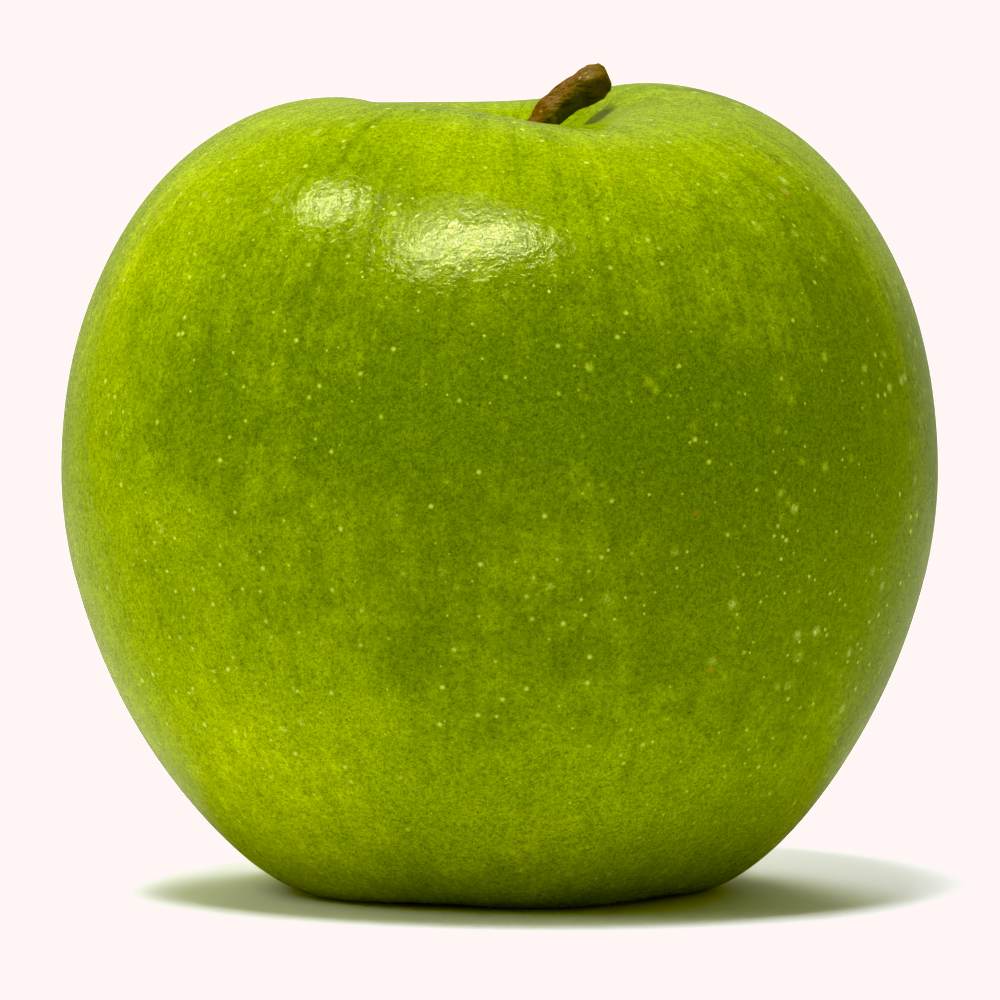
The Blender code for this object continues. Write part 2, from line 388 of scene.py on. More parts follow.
@dataclass(frozen=True)
class SkinFinish:
    """Waxy green skin: uneven colour with painted light and shade in it, pale pores, fine grain, a few specks and
    russet round the stem.
    """

    deep_green: Colour = (0.073, 0.120, 0.001)
    green: Colour = (0.160, 0.224, 0.001)
    yellow_green: Colour = (0.318, 0.392, 0.002)
    pore: Colour = (0.50, 0.60, 0.13)
    bloom: Colour = (0.36, 0.45, 0.10)
    speck: Colour = (0.26, 0.15, 0.03)
    russet: Colour = (0.30, 0.24, 0.06)
    # Painted light: the skin is painted paler along this way, to the left, the back and the bottom, and darker the
    # other way.
    painted_light_way: Vector = field(default_factory=lambda: Vector((-0.62, 0.28, -0.60)))
    roughness: float = 0.23
    specular: float = 0.30

    def pigment_and_painted_light(self, sheet: NodeSheet, place: bpy.types.NodeSocket) -> bpy.types.NodeSocket:
        """The skin's colour before dots and grain: uneven tone with painted light and shade mixed in.

        Args:
            sheet: the material's sheet.
            place: coordinates in millimetres.

        Returns:
            A colour that drifts from deep to yellow green, partly by painted light and shade.
        """
        # Painted light and shade: paler to the left, the back and the bottom, darker to the front and the right.
        middle = sheet.vector_math("SUBTRACT", place, (0.0, 0.0, 36.0))
        towards = sheet.node("ShaderNodeVectorMath", operation="DOT_PRODUCT")
        sheet.plug(towards.inputs[0], middle)
        sheet.plug(towards.inputs[1], tuple(self.painted_light_way))
        painted_side_light = sheet.remap(towards.outputs["Value"], -20.0, 32.0)
        height = sheet.node("ShaderNodeSeparateXYZ")
        sheet.plug(height.inputs[0], place)
        # Painted top light: paler over the upper shoulders.
        top = sheet.remap(height.outputs[2], 42.0, 68.0)
        # Painted bounce light: paler near the base.
        painted_low_bounce = sheet.remap(height.outputs[2], 26.0, 4.0)
        clouds = sheet.noise(place, 0.045, detail=2.0, roughness=0.55)
        patches = sheet.noise(place, 0.35, detail=3.0, roughness=0.6)
        # Random tone from clouds, patches and streaks, with the painted light above added in.
        tone_and_painted_light = sheet.math("ADD", sheet.math("MULTIPLY", painted_side_light, 0.48), sheet.math("MULTIPLY", top, 0.38))
        tone_and_painted_light = sheet.math("ADD", tone_and_painted_light, sheet.math("MULTIPLY", painted_low_bounce, 0.25))
        tone_and_painted_light = sheet.math("ADD", tone_and_painted_light, sheet.math("MULTIPLY", sheet.math("SUBTRACT", clouds, 0.5), 0.8))
        tone_and_painted_light = sheet.math("ADD", tone_and_painted_light, sheet.math("MULTIPLY", sheet.math("SUBTRACT", patches, 0.5), 0.55))
        tone_and_painted_light = sheet.math("ADD", tone_and_painted_light, self.streaks(sheet, place))
        low = sheet.mix(sheet.remap(tone_and_painted_light, 0.0, 0.5), self.deep_green, self.green)
        return sheet.mix(sheet.remap(tone_and_painted_light, 0.42, 1.0), low, self.yellow_green)

    def streaks(self, sheet: NodeSheet, place: bpy.types.NodeSocket) -> bpy.types.NodeSocket:
        """Soft streaks that run from the stem down over the shoulders, round 0."""
        parts = sheet.node("ShaderNodeSeparateXYZ")
        sheet.plug(parts.inputs[0], place)
        angle = sheet.math("ARCTAN2", parts.outputs[1], parts.outputs[0])
        wrapped = sheet.node("ShaderNodeCombineXYZ")
        sheet.plug(wrapped.inputs[0], sheet.math("MULTIPLY", sheet.math("COSINE", angle), 38.0))
        sheet.plug(wrapped.inputs[1], sheet.math("MULTIPLY", sheet.math("SINE", angle), 38.0))
        sheet.plug(wrapped.inputs[2], sheet.math("MULTIPLY", parts.outputs[2], 0.12))
        lines = sheet.noise(wrapped.outputs[0], 0.55, detail=3.0, roughness=0.65, distortion=0.3)
        where = sheet.remap(parts.outputs[2], 34.0, 64.0, 0.3, 0.65)
        return sheet.math("MULTIPLY", sheet.math("SUBTRACT", lines, 0.5), where)

    def pores(self, sheet: NodeSheet, place: bpy.types.NodeSocket, shared: SharedGroups) -> tuple[
            bpy.types.NodeSocket, bpy.types.NodeSocket]:
        """Masks of the pale pores and of the blurred pale spots between them."""
        parts = sheet.node("ShaderNodeSeparateXYZ")
        sheet.plug(parts.inputs[0], place)
        crowd = sheet.noise(place, 0.06, detail=1.0)
        size = sheet.remap(crowd, 0.35, 0.7, 0.15, 0.27)
        fine = sheet.group(shared.dots, Place=place, Spacing=1.5, Radius=size, Softness=1.0)
        big = sheet.group(shared.dots, Place=sheet.vector_math("ADD", place, (7.1, 3.3, 5.2)), Spacing=2.6,
                          Radius=0.36, Softness=1.0)
        right = sheet.remap(parts.outputs[0], -6.0, 30.0, 0.5, 1.0)
        halo = sheet.group(shared.dots, Place=sheet.vector_math("ADD", place, (1.7, 9.3, 2.2)), Spacing=2.6,
                           Radius=0.75, Softness=1.0)
        clusters = sheet.remap(sheet.noise(place, 0.12, detail=1.0), 0.45, 0.62)
        soft = sheet.math("MULTIPLY", sheet.math("MULTIPLY", halo.outputs["Mask"], clusters), right)
        sharp = sheet.math("MAXIMUM", fine.outputs["Mask"], big.outputs["Mask"])
        return sharp, soft

    def material(self, shared: SharedGroups) -> bpy.types.Material:
        """Builds the finish."""
        material, sheet, shader, place = start_material("apple_skin")
        parts = sheet.node("ShaderNodeSeparateXYZ")
        sheet.plug(parts.inputs[0], place)
        colour = self.pigment_and_painted_light(sheet, place)
        pores, halos = self.pores(sheet, place, shared)
        colour = sheet.mix(sheet.math("MULTIPLY", halos, 0.6), colour, self.bloom)
        grain = sheet.group(shared.grain, Place=place, Size=0.17, Contrast=0.70)
        tint = sheet.node("ShaderNodeCombineColor")
        for channel in range(3):
            sheet.plug(tint.inputs[channel], grain.outputs["Shade"])
        colour = sheet.mix(1.0, colour, tint.outputs[0], "MULTIPLY")
        colour = sheet.mix(sheet.math("MULTIPLY", pores, 0.60), colour, self.pore)
        specks = sheet.group(shared.dots, Place=sheet.vector_math("ADD", place, (4.4, 8.1, 0.6)), Spacing=8.0,
                             Radius=0.55, Softness=0.9)
        rare = sheet.math("MULTIPLY", specks.outputs["Mask"], sheet.remap(specks.outputs["Chance"], 0.5, 0.6))
        colour = sheet.mix(sheet.math("MULTIPLY", rare, 0.75), colour, self.speck)
        away = sheet.math("SQRT", sheet.math("ADD", sheet.math("POWER", parts.outputs[0], 2.0),
                                             sheet.math("POWER", parts.outputs[1], 2.0)))
        ragged = sheet.math("ADD", away, sheet.math("MULTIPLY", sheet.noise(place, 0.7, detail=3.0), 5.0))
        in_cavity = sheet.math("MULTIPLY", sheet.remap(ragged, 8.0, 4.5), sheet.remap(parts.outputs[2], 50.0, 56.0))
        colour = sheet.mix(sheet.math("MULTIPLY", in_cavity, 0.8), colour, self.russet)
        sheet.plug(shader.inputs["Base Color"], colour)
        gloss = sheet.math("ADD", sheet.math("MULTIPLY", sheet.noise(place, 0.5, detail=3.0), 0.16),
                           self.roughness - 0.08)
        gloss = sheet.math("ADD", gloss, sheet.math("MULTIPLY", in_cavity, 0.3))
        sheet.plug(shader.inputs["Roughness"], gloss)
        shader.inputs["Specular IOR Level"].default_value = self.specular
        shader.inputs["Sheen Weight"].default_value = 0.03
        shader.inputs["Sheen Roughness"].default_value = 0.35
        shader.inputs["Sheen Tint"].default_value = (0.90, 1.0, 0.55, 1.0)
        rolling = add_bump(sheet, sheet.noise(place, 0.75, detail=2.0), 0.09)
        crinkle = add_bump(sheet, sheet.noise(place, 2.8, detail=2.0, roughness=0.6, distortion=0.6), 0.028,
                           below=rolling)
        pitted = add_bump(sheet, pores, 0.02, below=crinkle)
        sheet.plug(shader.inputs["Normal"], pitted)
        return material


@dataclass(frozen=True)
class BarkFinish:
    """Thin bark: red-brown low down, olive underneath, orange-brown at the knobby end."""

    low: Colour = (0.115, 0.036, 0.013)
    olive: Colour = (0.060, 0.048, 0.010)
    end: Colour = (0.105, 0.046, 0.014)
    dark: Colour = (0.020, 0.012, 0.006)
    pale: Colour = (0.48, 0.38, 0.22)
    scar_place: Colour = (4.7, -1.0, 68.9)

    def material(self, shared: SharedGroups) -> bpy.types.Material:
        """Builds the finish."""
        material, sheet, shader, place = start_material("stem_bark")
        parts = sheet.node("ShaderNodeSeparateXYZ")
        sheet.plug(parts.inputs[0], place)
        under = sheet.math("SUBTRACT", parts.outputs[0], sheet.math("MULTIPLY", sheet.math(
            "SUBTRACT", parts.outputs[2], 64.0), 0.95))
        wobble = sheet.math("MULTIPLY", sheet.noise(place, 0.9, detail=3.0, roughness=0.6), 1.6)
        shade = sheet.remap(sheet.math("ADD", under, wobble), -0.6, 1.6)
        colour = sheet.mix(shade, self.low, self.olive)
        at_end = sheet.remap(sheet.math("ADD", parts.outputs[0], wobble), 7.4, 8.9)
        colour = sheet.mix(sheet.math("MULTIPLY", at_end, 0.85), colour, self.end)
        stretched = sheet.node("ShaderNodeMapping")
        sheet.plug(stretched.inputs["Vector"], place)
        stretched.inputs["Rotation"].default_value = (0.0, math.radians(50.0), 0.0)
        stretched.inputs["Scale"].default_value = (0.35, 1.6, 1.6)
        fibres = sheet.noise(stretched.outputs[0], 1.5, detail=4.0, roughness=0.65)
        colour = sheet.mix(sheet.remap(fibres, 0.52, 0.36), colour, self.dark)
        spots = sheet.group(shared.dots, Place=place, Spacing=1.1, Radius=0.22, Softness=0.9)
        colour = sheet.mix(sheet.math("MULTIPLY", spots.outputs["Mask"], 0.35), colour, self.pale)
        scar = sheet.node("ShaderNodeVectorMath", operation="DISTANCE")
        sheet.plug(scar.inputs[0], place)
        scar.inputs[1].default_value = self.scar_place
        colour = sheet.mix(sheet.remap(scar.outputs["Value"], 0.62, 0.2, 0.0, 0.85), colour, self.pale)
        grain = sheet.group(shared.grain, Place=place, Size=0.3, Contrast=0.5)
        tint = sheet.node("ShaderNodeCombineColor")
        for channel in range(3):
            sheet.plug(tint.inputs[channel], grain.outputs["Shade"])
        sheet.plug(shader.inputs["Base Color"], sheet.mix(1.0, colour, tint.outputs[0], "MULTIPLY"))
        sheet.plug(shader.inputs["Roughness"], sheet.remap(fibres, 0.3, 0.7, 0.68, 0.42))
        shader.inputs["Specular IOR Level"].default_value = 0.4
        ridged = add_bump(sheet, fibres, 0.16)
        sheet.plug(shader.inputs["Normal"], add_bump(sheet, grain.outputs["Height"], 0.05, below=ridged))
        return material


@dataclass(frozen=True)
class DriedFinish:
    """Dried flower tissue: brown with a pale down."""

    name: str
    body: Colour
    edge: Colour
    down: Colour
    sheen: float

    def material(self, shared: SharedGroups) -> bpy.types.Material:
        """Builds the finish."""
        material, sheet, shader, place = start_material(self.name)
        patches = sheet.noise(place, 0.8, detail=3.0, roughness=0.65)
        colour = sheet.mix(sheet.remap(patches, 0.38, 0.62), self.body, self.edge)
        hairs = sheet.node("ShaderNodeMapping")
        sheet.plug(hairs.inputs["Vector"], place)
        hairs.inputs["Scale"].default_value = (1.0, 1.0, 0.25)
        down = sheet.noise(hairs.outputs[0], 5.0, detail=2.0, roughness=0.7)
        colour = sheet.mix(sheet.remap(down, 0.5, 0.66, 0.0, 0.7), colour, self.down)
        grain = sheet.group(shared.grain, Place=place, Size=0.22, Contrast=0.5)
        tint = sheet.node("ShaderNodeCombineColor")
        for channel in range(3):
            sheet.plug(tint.inputs[channel], grain.outputs["Shade"])
        sheet.plug(shader.inputs["Base Color"], sheet.mix(1.0, colour, tint.outputs[0], "MULTIPLY"))
        sheet.plug(shader.inputs["Roughness"], sheet.remap(patches, 0.3, 0.7, 0.72, 0.9))
        shader.inputs["Specular IOR Level"].default_value = 0.2
        shader.inputs["Sheen Weight"].default_value = self.sheen
        shader.inputs["Sheen Roughness"].default_value = 0.6
        ridged = add_bump(sheet, down, 0.06)
        sheet.plug(shader.inputs["Normal"], add_bump(sheet, patches, 0.12, below=ridged))
        return material


# ---------------------------------------------------------------------------------------------------------------
# Fruit
# ---------------------------------------------------------------------------------------------------------------


@dataclass(frozen=True)
class Lobes:
    """An even number of rises round the axis."""

    count: int
    size: float
    peak: float

    def at(self, angle: float) -> float:
        """The rise at this angle, in radians from +X."""
        return self.size * math.cos(self.count * (angle - math.radians(self.peak)))


@dataclass
class AppleForm:
    """The fruit's form: a turned half-profile in four smooth stretches, then uneven round its axis."""

    girth_radius: float = 38.75
    girth_height: float = 38.0
    shoulder_radius: float = 14.8
    shoulder_height: float = 70.0
    cavity_floor: float = 58.0
    socket_radius: float = 1.9
    base_radius: float = 16.7
    base_pressed: float = 0.3
    basin_floor: float = 8.0
    basin_mouth: float = 3.0
    shoulder_inward: float = 8.0
    shoulder_outward: float = 13.2
    girth_upward: float = 18.2
    girth_downward: float = 19.6
    base_outward: float = 7.6
    base_inward: float = 5.0
    shoulder_lobes: tuple[Lobes, ...] = (Lobes(2, 0.97, 28.0), Lobes(3, 0.30, 21.0), Lobes(5, 0.12, 36.0))
    side_lobes: tuple[Lobes, ...] = (Lobes(2, 0.0153, 38.0), Lobes(3, 0.0127, -47.0), Lobes(5, 0.0074, -12.0))
    base_lobe_count: int = 5
    base_lobe_size: float = 0.52
    base_lobe_low: float = -74.6

    def stretches(self) -> list[list[Vector]]:
        """The profile's four stretches, each as knot, handle, handle, knot, in (radius, 0, height)."""
        top = (self.shoulder_radius, self.shoulder_height)
        girth = (self.girth_radius, self.girth_height)
        base = (self.base_radius, -self.base_pressed)
        mouth = (self.basin_mouth, self.basin_floor)
        socket = (self.socket_radius, self.cavity_floor)
        rows = (
            (socket, (socket[0] + 3.1, socket[1] + 6.0), (top[0] - self.shoulder_inward, top[1]), top),
            (top, (top[0] + self.shoulder_outward, top[1]), (girth[0], girth[1] + self.girth_upward), girth),
            (girth, (girth[0], girth[1] - self.girth_downward), (base[0] + self.base_outward, base[1]), base),
            (base, (base[0] - self.base_inward, base[1]), (mouth[0] + 3.0, mouth[1] - 2.0), mouth),
        )
        return [[Vector((radius, 0.0, height)) for radius, height in row] for row in rows]

    def profile(self, points: int) -> list[Vector]:
        """The skin's line from the stem's socket to the flower's tube.

        Args:
            points: how many points each stretch has.

        Returns:
            The line's points, (radius, 0, height).
        """
        line: list[Vector] = []
        for stretch in self.stretches():
            line += interpolate_bezier(*stretch, points)[:-1]
        line.append(self.stretches()[-1][-1])
        return line

    def uneven(self, point: Vector) -> Vector:
        """Moves a point of the turned form to its place on the lobed one."""
        radius = math.hypot(point.x, point.y)
        angle = math.atan2(point.y, point.x)
        height = point.z
        stretch = 1.0 + sum(lobe.at(angle) for lobe in self.side_lobes) * min(1.0, radius / self.girth_radius) ** 2
        if point.z > self.girth_height:
            up = smooth_step((point.z - self.girth_height) / (self.shoulder_height - self.girth_height))
            height += up * smooth_step(radius / self.shoulder_radius) * sum(
                lobe.at(angle) for lobe in self.shoulder_lobes)
        else:
            down = smooth_step(1.0 - point.z / (0.6 * self.girth_height)) * smooth_step(radius / self.base_radius)
            turn = self.base_lobe_count * (angle - math.radians(self.base_lobe_low))
            height += down * self.base_lobe_size * (0.5 - 0.5 * math.cos(turn))
        return Vector((radius * stretch * math.cos(angle), radius * stretch * math.sin(angle), max(0.0, height)))


@dataclass
class Fruit:
    """The apple itself, skin and flesh in one piece."""

    form: AppleForm = field(default_factory=AppleForm)
    finish: SkinFinish = field(default_factory=SkinFinish)
    profile_points: int = 44
    steps: int = 288
    swell: float = 0.10
    swell_per_mm: float = 0.085
    fold_depth: float = 0.45
    lip_gap: float = 0.35

    def turned(self) -> bmesh.types.BMesh:
        """The form before its lobes: the profile spun round the axis and closed at both ends."""
        form = self.form
        shape = bmesh.new()
        points = [Vector((form.socket_radius - self.lip_gap, 0.0, form.cavity_floor - 3.2)),
                  Vector((form.socket_radius - self.lip_gap, 0.0, form.cavity_floor - 0.5))]
        points += form.profile(self.profile_points)
        points += [Vector((2.65, 0.0, 8.6)), Vector((2.6, 0.0, 9.6)), Vector((2.6, 0.0, 12.4)),
                   Vector((2.3, 0.0, 12.9)), Vector((1.6, 0.0, 13.0))]
        line = [shape.verts.new(point) for point in points]
        edges = [shape.edges.new(pair) for pair in zip(line, line[1:])]
        bmesh.ops.spin(shape, geom=line + edges, cent=(0, 0, 0), axis=(0, 0, 1), angle=math.tau, steps=self.steps,
                       use_merge=True)
        rims = [edge for edge in shape.edges if edge.is_boundary]
        bmesh.ops.holes_fill(shape, edges=rims, sides=0)
        return shape

    def surface(self, point: Vector) -> Vector:
        """The final place of a point: lobed, a little rolling, and folded in the basin."""
        form = self.form
        placed = form.uneven(point)
        radius = math.hypot(placed.x, placed.y)
        roll = noise.noise(placed * self.swell_per_mm) * self.swell
        resting = smooth_step((placed.z - 0.4) / 5.0)
        outward = Vector((placed.x, placed.y, (placed.z - 36.0) * 0.8)).normalized()
        if point.z < form.basin_floor + 1.0 and 2.7 < radius < form.base_radius:
            share = smooth_step((radius - 2.7) / 3.0) * smooth_step((form.base_radius - radius) / 8.0)
            folds = math.cos(10.0 * math.atan2(placed.y, placed.x)) * 0.5 + 0.5 * math.cos(
                5.0 * math.atan2(placed.y, placed.x) + 0.8)
            placed.z += share * self.fold_depth * folds
        return placed + outward * (roll * resting)

    def build(self, material: bpy.types.Material) -> bpy.types.Object:
        """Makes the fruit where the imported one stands."""
        shape = self.turned()
        for vert in shape.verts:
            vert.co = self.surface(vert.co)
        low = [min(vert.co[axis] for vert in shape.verts) for axis in range(2)]
        high = [max(vert.co[axis] for vert in shape.verts) for axis in range(2)]
        node_low, node_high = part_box("fruit")
        shift = [(node_low[axis] + node_high[axis]) / 2.0 / MM - (low[axis] + high[axis]) / 2.0 for axis in range(2)]
        bmesh.ops.translate(shape, vec=(shift[0], shift[1], 0.0), verts=shape.verts[:])
        return finish_piece("apple_fruit", shape, material, "fruit")


# ---------------------------------------------------------------------------------------------------------------
# Stem
# ---------------------------------------------------------------------------------------------------------------


@dataclass
class Stem:
    """The woody stalk: upright out of the fruit, bent to the right, knobby and hollow where it came off."""

    root: Vector = field(default_factory=lambda: Vector((0.0, 0.0, 54.8)))
    root_handle: Vector = field(default_factory=lambda: Vector((0.0, 0.0, 61.0)))
    bend: Vector = field(default_factory=lambda: Vector((3.6, 0.2, 68.45)))
    bend_way: Vector = field(default_factory=lambda: Vector((0.59, 0.04, 0.81)).normalized())
    tip: Vector = field(default_factory=lambda: Vector((9.3, 0.4, 72.35)))
    tip_way: Vector = field(default_factory=lambda: Vector((0.92, 0.0, 0.39)).normalized())
    radii: tuple[Station, ...] = ((0.0, 1.45), (0.12, 1.4), (0.35, 1.22), (0.6, 1.27), (0.76, 1.36), (0.87, 1.58),
                                  (0.94, 1.66), (0.985, 1.36), (1.0, 0.95))
    rings: int = 72
    sides: int = 40
    hollow_depth: float = 0.9
    scar_size: float = 0.55
    offset: Vector = field(default_factory=Vector)

    def line(self) -> list[Vector]:
        """The stalk's middle line, at even steps."""
        low = interpolate_bezier(self.root, self.root_handle, self.bend - 3.5 * self.bend_way, self.bend, 40)
        high = interpolate_bezier(self.bend, self.bend + 2.0 * self.bend_way, self.tip - 2.2 * self.tip_way,
                                  self.tip, 40)
        return even_line(low + high[1:], self.rings)

    def roughen(self, shape: bmesh.types.BMesh, line: list[Vector], made: list[bmesh.types.BMVert]) -> None:
        """Gives the smooth tube its ridges, dents and knobs.

        Args:
            shape: the tube.
            line: its middle line, one point for each ring.
            made: its vertices, ring by ring.
        """
        scar = Vector((4.9, -1.1, 69.0))
        for index, vert in enumerate(made):
            ring = index // self.sides
            place = ring / (self.rings - 1)
            out = vert.co - line[ring]
            way = out.normalized()
            turn = math.tau * (index % self.sides) / self.sides
            ridges = 0.05 * math.cos(5.0 * turn + 1.2 * math.sin(6.0 * place)) + 0.025 * math.cos(11.0 * turn)
            lumps = 0.22 * noise.noise(vert.co * 0.55 + Vector((3.0, 1.0, 7.0)))
            fine = 0.07 * noise.noise(vert.co * 2.1)
            knob = smooth_step((place - 0.74) / 0.16) * 0.20 * noise.noise(vert.co * 0.95 + Vector((9.0, 2.0, 4.0)))
            bud = 0.22 * math.exp(-((vert.co - scar).length / self.scar_size) ** 2)
            calm = smooth_step(place / 0.15)
            vert.co += way * ((ridges + lumps + fine + knob) * calm + bud)
        shape.normal_update()

    def build(self, material: bpy.types.Material) -> bpy.types.Object:
        """Makes the stalk in the socket of the fruit."""
        shape = bmesh.new()
        line = [point + self.offset for point in self.line()]
        rings = []
        for index, centre in enumerate(line):
            along = line[min(index + 1, len(line) - 1)] - line[max(index - 1, 0)]
            radius = table_value(self.radii, index / (self.rings - 1))
            rings.append(Ring(centre, along, Vector((0, 1, 0)), radius, radius * 0.96))
        made = loft(shape, rings, self.sides)
        self.roughen(shape, line, made)
        end = max((face for face in shape.faces if len(face.verts) > 4), key=lambda face: face.calc_center_median().z)
        middle = end.calc_center_median()
        for width, push in ((0.8, 0.06), (0.72, -0.45 * self.hollow_depth), (0.6, -0.55 * self.hollow_depth)):
            bmesh.ops.inset_region(shape, faces=[end], thickness=0.0)
            for vert in end.verts:
                vert.co = middle + (vert.co - middle) * width + self.tip_way * push
            middle = end.calc_center_median()
        bmesh.ops.poke(shape, faces=[end])
        return finish_piece("apple_stem", shape, material, "stem")


# ---------------------------------------------------------------------------------------------------------------
# The dried flower in the base
# ---------------------------------------------------------------------------------------------------------------


@dataclass
class Calyx:
    """What is left of the flower: five leaflets over a tube, the stamens and the styles inside it."""

    sepal_count: int = 5
    sepal_knots: tuple[Colour, ...] = ((4.5, 6.3, 1.45), (3.6, 6.35, 1.6), (2.9, 5.8, 1.5), (2.5, 4.9, 1.25),
                                       (2.45, 3.9, 0.95), (2.75, 3.0, 0.6), (3.3, 2.3, 0.16))
    sepal_half_thickness: float = 0.24
    sepal_rings: int = 30
    sepal_sides: int = 20
    stamen_count: int = 14
    collar_outer: float = 2.2
    collar_inner: float = 1.3
    collar_top: float = 12.7
    collar_bottom: float = 11.4
    stamen_foot: float = 1.75
    stamen_end: float = 1.15
    stamen_low: float = 7.9
    style_radius: float = 0.62
    style_split: float = 9.4
    style_low: float = 6.9
    offset: Vector = field(default_factory=Vector)

    def sepal_station(self, place: float) -> Colour:
        """Distance from the axis, height and half width at this share of a leaflet's length."""
        spans = len(self.sepal_knots) - 1
        index = min(spans - 1, int(place * spans))
        share = place * spans - index
        before = self.sepal_knots[max(0, index - 1)]
        start, end = self.sepal_knots[index], self.sepal_knots[index + 1]
        after = self.sepal_knots[min(spans, index + 2)]
        values = []
        for axis in range(3):
            a, b, c, d = before[axis], start[axis], end[axis], after[axis]
            values.append(0.5 * (2 * b + (c - a) * share + (2 * a - 5 * b + 4 * c - d) * share ** 2
                                 + (3 * b - a - 3 * c + d) * share ** 3))
        return (values[0], values[1], max(0.12, values[2]))

    def build_sepal(self, number: int, material: bpy.types.Material) -> bpy.types.Object:
        """One leaflet, with a raised middle vein and a wavy edge."""
        angle = math.tau * (number - 0.5) / self.sepal_count
        outward = Vector((math.cos(angle), math.sin(angle), 0.0))
        sideways = Vector((-math.sin(angle), math.cos(angle), 0.0))
        stations = [self.sepal_station(index / (self.sepal_rings - 1)) for index in range(self.sepal_rings)]
        line = [outward * away + Vector((0, 0, height)) + self.offset for away, height, _ in stations]
        rings = []
        for index, centre in enumerate(line):
            along = line[min(index + 1, len(line) - 1)] - line[max(index - 1, 0)]
            wide = stations[index][2]
            rings.append(Ring(centre, along, sideways, wide, min(self.sepal_half_thickness, wide * 0.8)))
        shape = bmesh.new()
        made = loft(shape, rings, self.sepal_sides)
        for index, vert in enumerate(made):
            ring = index // self.sepal_sides
            across = (vert.co - line[ring]).dot(sideways)
            wide = stations[ring][2]
            vein = 0.10 * math.exp(-(across / (0.22 * wide + 0.05)) ** 2)
            curl = -0.16 * (across / wide) ** 2
            wave = 0.10 * noise.noise(vert.co * 1.3 + Vector((number * 5.0, 0.0, 0.0)))
            way = rings[ring].along.normalized().cross(sideways).normalized()
            vert.co += way * (curl + wave + vein * (1.0 if (vert.co - line[ring]).dot(way) > 0 else 0.2))
        return finish_piece(f"apple_sepal_{number}", shape, material, f"sepal_{number}")

    def build_stamens(self, material: bpy.types.Material) -> bpy.types.Object:
        """A collar in the tube, with thin dried filaments that end in small heads."""
        shape = bmesh.new()
        corners = ((self.collar_inner, self.collar_bottom), (self.collar_outer, self.collar_bottom),
                   (self.collar_outer, self.collar_top), (self.collar_inner, self.collar_top))
        section = [shape.verts.new((radius, 0.0, height)) for radius, height in corners]
        edges = [shape.edges.new((section[index], section[index - 1])) for index in range(len(section))]
        bmesh.ops.spin(shape, geom=section + edges, cent=(0, 0, 0), axis=(0, 0, 1), angle=math.tau, steps=56,
                       use_merge=True)
        for number in range(self.stamen_count):
            angle = math.tau * (number + 0.3 * math.sin(number * 2.3)) / self.stamen_count
            lean = 0.35 * math.sin(number * 1.7)
            foot = Vector((math.cos(angle), math.sin(angle), 0.0)) * self.stamen_foot
            head = Vector((math.cos(angle + lean), math.sin(angle + lean), 0.0)) * self.stamen_end
            foot.z = self.collar_bottom + 0.4
            head.z = self.stamen_low + 0.35 * math.sin(number * 3.1)
            handle = Vector((foot.x * 1.05, foot.y * 1.05, foot.z - 1.6))
            line = interpolate_bezier(foot, handle, head.lerp(foot, 0.3), head, 14)
            rings = []
            for index, centre in enumerate(line):
                along = line[min(index + 1, 13)] - line[max(index - 1, 0)]
                radius = 0.11 + 0.10 * math.exp(-((index - 11.6) / 1.5) ** 2)
                radius *= 0.45 if index == 13 else 1.0
                rings.append(Ring(centre, along, Vector((0.3, 1, 0.1)), radius, radius))
            loft(shape, rings, 8)
        bmesh.ops.translate(shape, vec=self.offset, verts=shape.verts[:])
        return finish_piece("apple_stamens", shape, material, "stamens")

    def build_styles(self, material: bpy.types.Material) -> bpy.types.Object:
        """The column in the tube's middle, split into five arms."""
        shape = bmesh.new()
        column = [Ring(Vector((0, 0, height)), Vector((0, 0, -1)), Vector((1, 0, 0)), radius, radius)
                  for height, radius in ((12.7, self.style_radius), (11.5, self.style_radius * 0.92),
                                         (10.3, self.style_radius * 0.95), (self.style_split, self.style_radius),
                                         (self.style_split - 0.35, self.style_radius * 0.7))]
        loft(shape, column, 20)
        for number in range(self.sepal_count):
            angle = math.tau * number / self.sepal_count + 0.3
            way = Vector((math.cos(angle), math.sin(angle), 0.0))
            foot = way * 0.3 + Vector((0, 0, self.style_split + 0.2))
            head = way * 0.62 + Vector((0, 0, self.style_low + 0.25 * math.sin(number * 2.0)))
            line = interpolate_bezier(foot, foot - Vector((0, 0, 0.9)), head + Vector((0, 0, 0.9)) - way * 0.2, head, 12)
            rings = []
            for index, centre in enumerate(line):
                along = line[min(index + 1, 11)] - line[max(index - 1, 0)]
                radius = (0.15 + 0.06 * smooth_step((index - 8) / 3.0)) * (0.6 if index == 11 else 1.0)
                rings.append(Ring(centre, along, Vector((0.3, 1, 0.1)), radius, radius))
            loft(shape, rings, 8)
        bmesh.ops.translate(shape, vec=self.offset, verts=shape.verts[:])
        return finish_piece("apple_styles", shape, material, "styles")


# ---------------------------------------------------------------------------------------------------------------
# Studio
# ---------------------------------------------------------------------------------------------------------------


class Role(Enum):
    """What a light is for: to light surfaces evenly, or to show as a reflection in the waxy skin."""

    FILL = "fill"
    GLINT = "glint"


@dataclass(frozen=True)
class Softbox:
    """A rectangular light that looks at the apple."""

    name: str
    role: Role
    way: Colour
    distance: float
    size: Station
    power: float
    colour: Colour = (1.0, 1.0, 1.0)
    target: Colour = (0.0, 0.0, 0.04)
    roll: float = 0.0

    def build(self) -> bpy.types.Object:
        """Hangs the light along its way from the target."""
        data = bpy.data.lights.new(self.name, "AREA")
        data.shape = "RECTANGLE"
        data.size, data.size_y = self.size
        data.energy = self.power
        data.color = self.colour
        light = bpy.data.objects.new(self.name, data)
        way = Vector(self.way).normalized()
        light.location = Vector(self.target) + way * self.distance
        turned = way.to_track_quat("Z", "Y") @ Quaternion((0.0, 0.0, 1.0), math.radians(self.roll))
        light.rotation_euler = turned.to_euler()
        light.visible_diffuse = self.role is Role.FILL
        light.visible_glossy = self.role is Role.GLINT
        bpy.context.scene.collection.objects.link(light)
        return light


